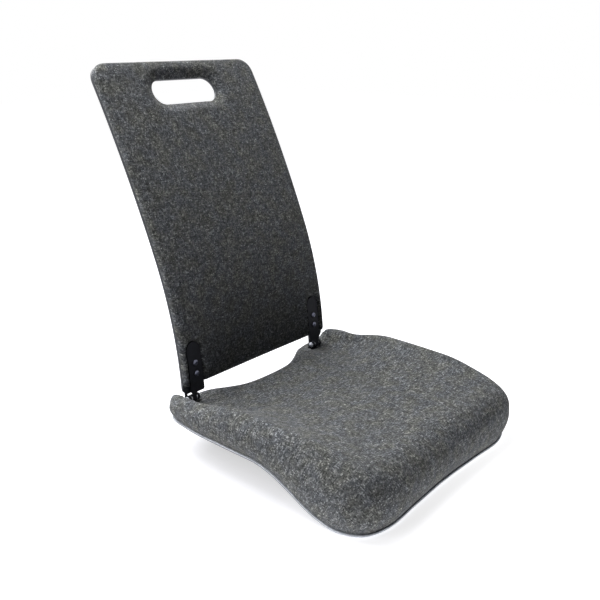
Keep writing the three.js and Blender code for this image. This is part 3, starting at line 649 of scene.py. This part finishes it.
thick = SHELL_BACK - SHELL_FRONT
for side in (-1, 1):
    shape = leg_outline(side)
    middle = shape.mean(0)
    rings = []
    for inset, depth in ((LEG_BEVEL, 0.0), (0.0, LEG_BEVEL), (0.0, thick - LEG_BEVEL), (LEG_BEVEL, thick)):
        p = shape + (middle - shape) * (inset / np.linalg.norm(shape - middle, axis=1))[:, None]
        rings.append(on_back(p[:, 0], p[:, 1], SHELL_FRONT + depth))
    combine(back_shell, ring_body("leg", np.array(rings)), "UNION")
print("back shell faces:", len(back_shell.data.polygons))

# %% [markdown]
# ## Hinge hardware: turned parts
# Screws, nuts, pins, washers and rivets are turned or pressed round their own axis. Each is a profile of
# radii and places along that axis; where a row is marked as a hexagon, the ring has flats, as a nut and
# the key socket of a screw have. All stand exactly where the CAD nodes stand.

# %% Turned parts
AROUND = 48
CRISP_ANGLE = np.radians(35)
DOME_RINGS, DOME_RIM, DOME_ARRIS = 8, 0.3, 0.2


def turned(name, profile, centre, axis, loop=False):
    """Rings of a profile of (radius, place along the axis, hexagon or not) about an axis.
    A hexagon's ring has radius a/cos((angle mod 60) - 30), where a is half its width across flats."""
    axis = np.array(axis, float) / np.linalg.norm(axis)
    side = np.cross(axis, (0, 0, 1) if abs(axis[2]) < 0.9 else (1, 0, 0))
    side /= np.linalg.norm(side)
    other = np.cross(axis, side)
    angle = np.arange(AROUND) * 2 * np.pi / AROUND
    ring = np.cos(angle)[:, None] * side + np.sin(angle)[:, None] * other
    flats = 1 / np.cos(angle % (np.pi / 3) - np.pi / 6)
    rings = []
    for radius, along, hexagon in profile:
        reach = radius * (flats if hexagon else np.ones(AROUND))
        rings.append(np.array(centre) + ring * reach[:, None] + axis * along)
    made = ring_body(name, np.array(rings), loop=loop)
    mark_edges(made)
    return made


def mark_edges(made):
    """Keeps edges sharper than 35 degrees crisp, and shades the rest smooth."""
    mesh = bmesh.new()
    mesh.from_mesh(made.data)
    for edge in mesh.edges:
        edge.smooth = edge.calc_face_angle(0.0) < CRISP_ANGLE
    for face in mesh.faces:
        face.smooth = True
    mesh.to_mesh(made.data)
    mesh.free()


def dome(radius, base, height, end=0.15):
    """A domed head: a low straight rim, 0.3 of its height, then a quarter ellipse up to a small flat
    top, whose radius is a share of the head's that end gives."""
    rim = DOME_RIM * height
    angles = np.linspace(0, np.arccos(end), DOME_RINGS)
    top = [(radius * np.cos(a), base + rim + (height - rim) * np.sin(a), False) for a in angles]
    return [(radius - DOME_ARRIS, base, False), (radius, base + DOME_ARRIS, False), *top]


def mirrored(profile):
    """The same profile turned end for end."""
    return [(radius, -along, hexagon) for radius, along, hexagon in profile[::-1]]


def forwards(height):
    """Direction square to the panel at a height, towards the sitter."""
    ahead = on_back(0.0, height, -1.0) - on_back(0.0, height, 0.0)
    return ahead / np.linalg.norm(ahead)


STRAP_FACE, SHELL_HOLE = 5.5, 2.8
KNUCKLE_HALF, BRACKET_HALF = 3.5, 10.0
FOOT_TOP, RIM_UNDER = 55.1, 48.7
WASHER_NEAR, WASHER_FAR = KNUCKLE_HALF + GAP, KNUCKLE_HALF + GAP + 2.0
SCREW_PLACES = (("lower", 38.0), ("upper", 55.0))
RIVET_PLACES = (("front", 28.0), ("rear", 14.0))

# Profiles: a round-headed M5 screw with its key socket, its nut, a headed pin, a washer and a rivet.
screw = [(2.2, -9.5, False), (2.5, -9.2, False), (2.5, STRAP_FACE + GAP, False)]
screw += dome(4.5, STRAP_FACE + GAP, 2.6, end=0.42)
screw += [(1.5, screw[-1][1], True), (1.5, screw[-1][1] - 1.4, True)]
nut = [(3.8, -4.5, False), (4.0, -4.9, True), (4.0, -8.1, True), (3.8, -8.5, False)]
nut = [(SHELL_HOLE, -4.5, False), *nut, (SHELL_HOLE, -8.5, False)]
pin = [(3.0, BRACKET_HALF + GAP, False), *dome(4.6, BRACKET_HALF + GAP, 1.8)]
pin = mirrored(pin) + pin
washer = [(3.3, WASHER_NEAR, False), (4.8, WASHER_NEAR, False), (5.0, WASHER_NEAR + 0.2, False)]
washer += [(5.0, WASHER_FAR - 0.2, False), (4.8, WASHER_FAR, False), (3.3, WASHER_FAR, False)]
rivet = mirrored([(2.5, -RIM_UNDER, False), *dome(4.5, -RIM_UNDER, 2.0)])
rivet += [(2.5, FOOT_TOP, False), *dome(4.5, FOOT_TOP, 2.0)]
dressed = []


def fit(node, body, slot, profile, centre, axis, loop=False):
    """Turns the piece that stands for a CAD node, and keeps it with its body, slot and node."""
    dressed.append((turned(f"{node}_turned", profile, centre, axis, loop), body, slot, node))


for side, label in ((-1, "left"), (1, "right")):
    for place, height in SCREW_PLACES:
        centre, ahead = on_back(side * SCREW_X, height, 0.0), forwards(height)
        fit(f"strap_screw_{place}_{label}", "backrest", "black_steel", screw, centre, ahead)
        fit(f"strap_nut_{place}_{label}", "backrest", "zinc", nut, centre, ahead, loop=True)
    centre = (side * HINGE_X, HINGE_Y, HINGE_Z)
    fit(f"hinge_pin_{label}", "seat", "zinc", pin, centre, (1, 0, 0))
    for place, way in (("inner", -side), ("outer", side)):
        fit(f"hinge_washer_{place}_{label}", "seat", "zinc", washer, centre, (way, 0, 0), loop=True)
    for place, forward in RIVET_PLACES:
        centre = (side * HINGE_X, HINGE_Y - forward, 0)
        fit(f"bracket_rivet_{place}_{label}", "seat", "zinc", rivet, centre, (0, 0, 1))
print("turned parts:", len(dressed))

# %% [markdown]
# ## Hinge hardware: holes and pressed steel
# The shells and the pad get the holes that the screws and rivets run through. The straps and brackets are
# stamped from 2.5 mm sheet, and tumbling rounds their edges, so a copy of each CAD node gets a fine bevel.

# %% Holes and pressed steel
BACK_DRILL, PAD_DRILL, SEAT_DRILL = (-6, 6), (-2, 6), (40, 60)
TUMBLED_ROUND, FLAT_ANGLE = 0.7, 0.6


def drill(target, centre, axis, low, high):
    """Cuts one round hole for a screw or a rivet."""
    cutter = turned("cutter", [(SHELL_HOLE, low, False), (SHELL_HOLE, high, False)], centre, axis)
    combine(target, cutter, "DIFFERENCE")


for side in (-1, 1):
    for _, height in SCREW_PLACES:
        centre, ahead = on_back(side * SCREW_X, height, 0.0), forwards(height)
        drill(back_shell, centre, ahead, *BACK_DRILL)
        drill(back_cushion, centre, ahead, *PAD_DRILL)
    for _, forward in RIVET_PLACES:
        drill(seat_shell, (side * HINGE_X, HINGE_Y - forward, 0), (0, 0, 1), *SEAT_DRILL)


def stamped(name):
    """A copy of a CAD node: corners merged, flat faces joined, edges past 35 degrees bevelled."""
    mesh = bmesh.new()
    mesh.from_mesh(nodes[name].data)
    bmesh.ops.remove_doubles(mesh, verts=mesh.verts, dist=0.001 * MM)
    bmesh.ops.dissolve_limit(mesh, angle_limit=np.radians(FLAT_ANGLE), verts=mesh.verts, edges=mesh.edges)
    data = bpy.data.meshes.new(f"{name}_stamped")
    mesh.to_mesh(data)
    mesh.free()
    made = new_object(f"{name}_stamped", data)
    mark_edges(made)
    bevel = made.modifiers.new("tumbled_edges", "BEVEL")
    bevel.width = TUMBLED_ROUND * MM
    bevel.segments = 3
    bevel.limit_method = "ANGLE"
    bevel.angle_limit = CRISP_ANGLE
    bevel.harden_normals = True
    print(made.name, "faces before its bevel:", len(data.polygons))
    return made


for label in ("left", "right"):
    for name, body in ((f"back_strap_{label}", "backrest"), (f"seat_bracket_{label}", "seat")):
        dressed.append((stamped(name), body, "black_steel", name))

# %% [markdown]
# ## Materials: the fabric
# The cover is a plain-woven wool cloth in charcoal mélange. Its yarns are spun from dark and light
# fibres, so each thread changes shade along its length, and slubs make short paler strokes. That is drawn
# as a plain weave on the cloth's own coordinates: a cell shows a warp or a weft thread, each with its own
# streaky noise, and where they cross some of the brighter one shows through. Real threads here are about
# 1 mm wide. They are drawn at 1.6 mm and the slubs at 8 x 2.8 mm, so that they show at this distance.

# %% Fabric material
THREAD = 1.6
FLECK_STRETCH, FLECK_STEP = 0.27, 7.31
CROSSING = 0.35
STROKE_LENGTH, STROKE_WIDTH = 8.0, 2.8
STROKE_DARK, STROKE_LIGHT = 0.76, 1.34
NAP_INSIDE, NAP_OUTSIDE = 100.0, 170.0
WANDER = 1.2
CLOTH_LEVEL = 1.62
BUMP_DEPTH = 0.5
YARN = [(0.28, "#2b2c2d"), (0.45, "#4a4b4c"), (0.55, "#616263"), (0.66, "#8c8d8d"), (0.80, "#c4c5c4")]
CAST = [(0.34, "#c4c7cc"), (0.5, "#c8c9c9"), (0.66, "#cacac3")]


def wool_cloth(name, nap):
    """Plain-woven charcoal mélange wool: cell parity picks the thread, stretched noise its shade.
    nap is how much more the slubs stand out in the middle, where the cloth is sat on."""
    made, tree = new_material(name)
    solid = add(tree, "TexCoord")["Object"]
    # Threads wander by about a millimetre, so that the weave is never a ruled grid.
    wander = add(tree, "TexNoise", {"Vector": solid, "Scale": 90.0, "Detail": 2.0})["Color"]
    shift = add(tree, "VectorMath", {0: wander, 1: (0.5, 0.5, 0.5)}, operation="SUBTRACT")[0]
    shift = add(tree, "VectorMath", {0: shift, "Scale": WANDER * MM}, operation="SCALE")[0]
    cloth = add(tree, "UVMap", uv_map="cloth")[0]
    place = add(tree, "VectorMath", {0: cloth, 1: shift}, operation="ADD")[0]
    split = add(tree, "SeparateXYZ", {0: place})
    u, v = (add(tree, "Math", {0: split[k], 1: THREAD * MM}, operation="DIVIDE")[0] for k in (0, 1))
    column, row = (add(tree, "Math", {0: way}, operation="FLOOR")[0] for way in (u, v))
    cell = add(tree, "Math", {0: column, 1: row}, operation="ADD")[0]
    parity = add(tree, "Math", {0: cell, 1: 1.0}, operation="PINGPONG")[0]
    shades = []
    for thread, along, seed in ((column, v, 3.1), (row, u, 17.7)):
        across = add(tree, "Math", {0: thread, 1: FLECK_STEP}, operation="MULTIPLY")[0]
        along = add(tree, "Math", {0: along, 1: FLECK_STRETCH}, operation="MULTIPLY")[0]
        spot = add(tree, "CombineXYZ", {0: across, 1: along, 2: seed})[0]
        noise = {"Vector": spot, "Scale": 1.0, "Detail": 2.0, "Roughness": 0.6}
        shades.append(add(tree, "TexNoise", noise)[0])
    woven = add(tree, "Mix", {0: parity, 2: shades[0], 3: shades[1]}, data_type="FLOAT")[0]
    brighter = add(tree, "Math", {0: shades[0], 1: shades[1]}, operation="MAXIMUM")[0]
    shade = add(tree, "Mix", {0: CROSSING, 2: woven, 3: brighter}, data_type="FLOAT")[0]
    yarn = add(tree, "ValToRGB", {0: shade}, YARN)[0]
    # Slubs: short strokes along both threads. Pressed nap makes them stand out in the middle.
    strokes = []
    for size_u, size_v, seed in ((STROKE_LENGTH, STROKE_WIDTH, 5.3), (STROKE_WIDTH, STROKE_LENGTH, 9.7)):
        share_u = add(tree, "Math", {0: split[0], 1: size_u * MM}, operation="DIVIDE")[0]
        share_v = add(tree, "Math", {0: split[1], 1: size_v * MM}, operation="DIVIDE")[0]
        spot = add(tree, "CombineXYZ", {0: share_u, 1: share_v, 2: seed})[0]
        noise = {"Vector": spot, "Scale": 1.0, "Detail": 2.0, "Roughness": 0.65}
        strokes.append(add(tree, "TexNoise", noise)[0])
    stroke = add(tree, "Math", {0: strokes[0], 1: strokes[1]}, operation="MAXIMUM")[0]
    span = {"Value": stroke, "From Min": 0.44, "From Max": 0.72}
    span |= {"To Min": STROKE_DARK, "To Max": STROKE_LIGHT}
    stroke = add(tree, "MapRange", span)[0]
    reach = add(tree, "VectorMath", {0: place}, operation="LENGTH")["Value"]
    span = {"Value": reach, "From Min": NAP_INSIDE * MM, "From Max": NAP_OUTSIDE * MM}
    span |= {"To Min": nap, "To Max": 1.0}
    gain = add(tree, "MapRange", span)[0]
    stroke = add(tree, "Math", {0: stroke, 1: 1.0}, operation="SUBTRACT")[0]
    stroke = add(tree, "Math", {0: stroke, 1: gain, 2: 1.0}, operation="MULTIPLY_ADD")[0]
    level = add(tree, "Math", {0: stroke, 1: CLOTH_LEVEL}, operation="MULTIPLY")[0]
    level = add(tree, "CombineColor", {0: level, 1: level, 2: level})[0]
    # The dye varies a little over patches of about 2 cm, from a cool grey to a warm one.
    patches = add(tree, "TexNoise", {"Vector": solid, "Scale": 48.0, "Detail": 1.0})[0]
    cast = add(tree, "ValToRGB", {0: patches}, CAST)[0]
    colour = add(tree, "Mix", {0: 1.0, 6: yarn, 7: cast}, data_type="RGBA", blend_type="MULTIPLY")[2]
    colour = add(tree, "Mix", {0: 1.0, 6: colour, 7: level}, data_type="RGBA", blend_type="MULTIPLY")[2]
    # Relief: each thread is a hump across its width and rises where it lies over the other, with fuzz.
    humps = []
    for way in (u, v):
        part = add(tree, "Math", {0: way}, operation="FRACT")[0]
        turn = add(tree, "Math", {0: part, 1: np.pi}, operation="MULTIPLY")[0]
        humps.append(add(tree, "Math", {0: turn}, operation="SINE")[0])
    over = add(tree, "Mix", {0: parity, 2: humps[0], 3: humps[1]}, data_type="FLOAT")[0]
    under = add(tree, "Mix", {0: parity, 2: humps[1], 3: humps[0]}, data_type="FLOAT")[0]
    under = add(tree, "Math", {0: 0.5, 1: under}, operation="ADD")[0]
    relief = add(tree, "Math", {0: over, 1: under}, operation="MULTIPLY")[0]
    fuzz = add(tree, "TexNoise", {"Vector": solid, "Scale": 900.0, "Detail": 3.0})[0]
    relief = add(tree, "Math", {0: relief, 1: fuzz}, operation="ADD")[0]
    bump = add(tree, "Bump", {"Height": relief, "Strength": 0.55, "Distance": BUMP_DEPTH * MM})[0]
    surface = {"Base Color": colour, "Roughness": 0.95, "Normal": bump}
    surface |= {"Sheen Weight": 0.12, "Sheen Roughness": 0.4, "Specular IOR Level": 0.06}
    add(tree, "OutputMaterial", {0: add(tree, "BsdfPrincipled", surface)[0]})
    return made


seat_wool = wool_cloth("charcoal_melange_wool_seat", 1.6)
back_wool = wool_cloth("charcoal_melange_wool_back", 1.0)
print("thread spacing drawn, mm:", THREAD)

# %% [markdown]
# ## Materials: shell, steel and zinc
# The shells are moulded plastic with a fine spark-eroded grain, black and half glossy, and paler on the
# trimmed rim, where the paleness also stands for a painted highlight and reflection. The hinge plates are
# pressed steel under black powder coat, matt and slightly pebbled.
# Nuts, rivets, pins and washers are bright zinc plate over turned steel, with faint turning marks, and the
# strap screws are plated black, so that only their round heads catch a soft light.

# %% Hard materials


def moulded_plastic(name, face, edge):
    """Moulded plastic with a fine grain: noise bump at about 0.8 mm, pale on the rim, a painted highlight
    too.
    """
    made, tree = new_material(name)
    solid = add(tree, "TexCoord")["Object"]
    grain = add(tree, "TexNoise", {"Vector": solid, "Scale": 1200.0, "Detail": 2.0})[0]
    cloud = add(tree, "TexNoise", {"Vector": solid, "Scale": 14.0, "Detail": 4.0})[0]
    plain = add(tree, "ValToRGB", {0: cloud}, [(0.3, face[0]), (0.7, face[1])])[0]
    scuffs = add(tree, "TexNoise", {"Vector": solid, "Scale": 160.0, "Detail": 4.0})[0]
    pale = add(tree, "ValToRGB", {0: scuffs}, [(0.35, edge[0]), (0.65, edge[1])])[0]
    # The marked rim is pale: a trimmed edge together with a painted highlight and reflection.
    pale_edge_and_highlight = add(tree, "Attribute", attribute_name="pale_edge_and_highlight")["Fac"]
    colour = add(tree, "Mix", {0: pale_edge_and_highlight, 6: plain, 7: pale}, data_type="RGBA")[2]
    rough = add(tree, "MapRange", {"Value": cloud, "To Min": 0.34, "To Max": 0.48})[0]
    bump = add(tree, "Bump", {"Height": grain, "Strength": 0.2, "Distance": 0.1 * MM})[0]
    surface = {"Base Color": colour, "Roughness": rough, "Normal": bump, "IOR": 1.5}
    add(tree, "OutputMaterial", {0: add(tree, "BsdfPrincipled", surface)[0]})
    return made


def powder_coat(name):
    """Black powder coat on pressed steel: pebbled bump at about 1.4 mm, worn a little brighter."""
    made, tree = new_material(name)
    solid = add(tree, "TexCoord")["Object"]
    pebble = add(tree, "TexNoise", {"Vector": solid, "Scale": 700.0, "Detail": 2.0})[0]
    worn = add(tree, "TexNoise", {"Vector": solid, "Scale": 60.0, "Detail": 5.0})[0]
    colour = add(tree, "ValToRGB", {0: worn}, [(0.35, "#26272c"), (0.62, "#2e2f35"), (0.8, "#3a3b42")])[0]
    rough = add(tree, "MapRange", {"Value": worn, "To Min": 0.58, "To Max": 0.7})[0]
    bump = add(tree, "Bump", {"Height": pebble, "Strength": 0.25, "Distance": 0.15 * MM})[0]
    surface = {"Base Color": colour, "Roughness": rough, "Normal": bump, "Specular IOR Level": 0.15}
    add(tree, "OutputMaterial", {0: add(tree, "BsdfPrincipled", surface)[0]})
    return made


def zinc_plate(name, dull, bright):
    """Zinc plate on turned steel: metallic, with turning marks under a millimetre that vary its gloss."""
    made, tree = new_material(name)
    solid = add(tree, "TexCoord")["Object"]
    marks = add(tree, "TexNoise", {"Vector": solid, "Scale": 1500.0, "Detail": 2.0})[0]
    cloud = add(tree, "TexNoise", {"Vector": solid, "Scale": 200.0, "Detail": 3.0})[0]
    colour = add(tree, "ValToRGB", {0: cloud}, [(0.3, dull), (0.7, bright)])[0]
    rough = add(tree, "MapRange", {"Value": marks, "To Min": 0.2, "To Max": 0.36})[0]
    surface = {"Base Color": colour, "Roughness": rough, "Metallic": 1.0}
    add(tree, "OutputMaterial", {0: add(tree, "BsdfPrincipled", surface)[0]})
    return made


shell_plastic = moulded_plastic("black_moulded_plastic_satin", ("#1d1f24", "#2b2e35"), ("#aeb2ba", "#c8ccd3"))
black_steel = powder_coat("black_powder_coated_steel")
bright_zinc = zinc_plate("bright_zinc_plated_steel", "#8e9199", "#b0b3ba")
black_zinc = zinc_plate("black_zinc_plated_steel", "#585a68", "#6e707e")
print("made:", ", ".join(made.name for made in (shell_plastic, black_steel, bright_zinc, black_zinc)))

# %% [markdown]
# ## Dressing the model
# Every new piece rides on its CAD body, and the nodes that it stands for are hidden. Both cushions are padded
# pieces, and each stands for a cover and the foam under it.

# %% Pieces and bodies


def dress(piece, body, slot, material, *replaced):
    """Gives a piece its material and its body, and hides the CAD nodes that it replaces. slot is not used."""
    piece.data.materials.clear()
    piece.data.materials.append(material)
    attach(piece, body)
    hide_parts(*replaced)


dress(seat_cushion, "seat", "felt", seat_wool, "seat_cover", "seat_foam")
dress(back_cushion, "backrest", "felt", back_wool, "back_cover", "back_foam")
dress(seat_shell, "seat", "shell", shell_plastic, "seat_shell")
dress(back_shell, "backrest", "shell", shell_plastic, "back_shell")

metals = {"black_steel": black_steel, "zinc": bright_zinc}
for piece, body, slot, node in dressed:
    dress(piece, body, slot, black_zinc if "strap_screw" in node else metals[slot], node)
print("new pieces:", len(dressed) + 4, "for nodes:", len(nodes))

# %% [markdown]
# ## Floor and world
# The floor is white paper that keeps the chair's soft shadow. To the camera and to mirror-like reflections it
# also glows and fades to pure white away from the chair; the glow is lower round a point left of the seat's
# middle, which paints a shade round the chair on top of its real shadow.
# Every other ray sees a pale floor that glows only near the chair's front, and throws light on its front
# edge. The world looks white too, but gives little light of its own, so that the underside and the front
# of the backrest stay dark.

# %% Floor and world
FLOOR_HALF, FLOOR_DROP = 6.0, 0.0004
SHADE_CENTRE, SHADE_NEAR, SHADE_FAR, SHADE_GLOW = (-0.2, 0.09, 0), 0.12, 0.5, 0.6
THROW_CENTRE, THROW_NEAR, THROW_FAR, THROW_GLOW = (0.02, -0.2, 0), 0.3, 0.5, 1.3
SOFT_WORLD = 0.03
WHITE = linear("#ffffff")


def camera_share(tree):
    """1 for rays from the camera, a mirror-like reflection or clear matter, else 0."""
    path = add(tree, "LightPath")
    both = {0: path["Is Camera Ray"], 1: path["Is Glossy Ray"]}
    both = add(tree, "Math", both, operation="MAXIMUM")[0]
    return add(tree, "Math", {0: both, 1: path["Is Transmission Ray"]}, operation="MAXIMUM")[0]


floor_mesh = bpy.data.meshes.new("floor")
corners = [(x * FLOOR_HALF, y * FLOOR_HALF, -FLOOR_DROP) for x, y in ((-1, -1), (1, -1), (1, 1), (-1, 1))]
floor_mesh.from_pydata(corners, [], [(0, 1, 2, 3)])
floor = new_object("floor", floor_mesh)

paper, tree = new_material("white_backdrop_paper")
place = add(tree, "TexCoord")["Object"]
# Painted shade: the glow is lower round SHADE_CENTRE, which darkens the floor round the chair and adds to the
# real shadow.
away = add(tree, "VectorMath", {0: place, 1: SHADE_CENTRE}, operation="DISTANCE")["Value"]
span = {"Value": away, "From Min": SHADE_NEAR, "From Max": SHADE_FAR, "To Min": SHADE_GLOW, "To Max": 1.0}
glow = add(tree, "Emission", {"Color": WHITE, "Strength": add(tree, "MapRange", span)[0]})[0]
seen = add(tree, "AddShader", {0: glow, 1: add(tree, "BsdfDiffuse", {"Color": linear("#b4b4ba")})[0]})[0]
ahead = add(tree, "VectorMath", {0: place, 1: THROW_CENTRE}, operation="DISTANCE")["Value"]
span = {"Value": ahead, "From Min": THROW_NEAR, "From Max": THROW_FAR, "To Min": THROW_GLOW, "To Max": 0.0}
throw = add(tree, "Emission", {"Strength": add(tree, "MapRange", span)[0]})[0]
lit = add(tree, "AddShader", {0: add(tree, "BsdfDiffuse", {"Color": linear("#cfcfd2")})[0], 1: throw})[0]
mixed = add(tree, "MixShader", {0: camera_share(tree), 1: lit, 2: seen})[0]
add(tree, "OutputMaterial", {0: mixed})
floor_mesh.materials.append(paper)

world = bpy.data.worlds.new("studio")
bpy.context.scene.world = world
world.use_nodes = True
tree = world.node_tree
tree.nodes.clear()
soft = add(tree, "Background", {"Color": linear("#eef1ff"), "Strength": SOFT_WORLD})[0]
white = add(tree, "Background", {"Color": WHITE, "Strength": 1.0})[0]
add(tree, "OutputWorld", {0: add(tree, "MixShader", {0: camera_share(tree), 1: soft, 2: white})[0]})
print("floor:", floor.name, "world:", world.name)

# %% [markdown]
# ## Lamps
# A large soft lamp hangs over and behind the chair, so that the seat's top is bright and the front of the
# backrest is in its own shade. A weaker one high on the left lifts the near side.

# %% Lamps


def lamp(name, place, target, size, power):
    """A square area lamp that looks at a target: it tips by atan2(flat distance, drop)."""
    data = bpy.data.lights.new(name, "AREA")
    data.size = size
    data.energy = power
    made = new_object(name, data)
    made.location = place
    x, y, z = np.array(target) - np.array(place)
    made.rotation_euler = (np.arctan2(np.hypot(x, y), -z), 0, np.arctan2(y, x) - np.pi / 2)
    print(name, "lamp, watts:", power)


lamp("overhead", (-0.15, 0.8, 1.35), (0, 0.1, 0.1), 1.35, 53)
lamp("left", (-1.6, 0.4, 1.7), (0, 0, 0.1), 0.8, 17)
bpy.context.scene.view_settings.view_transform = "Standard"
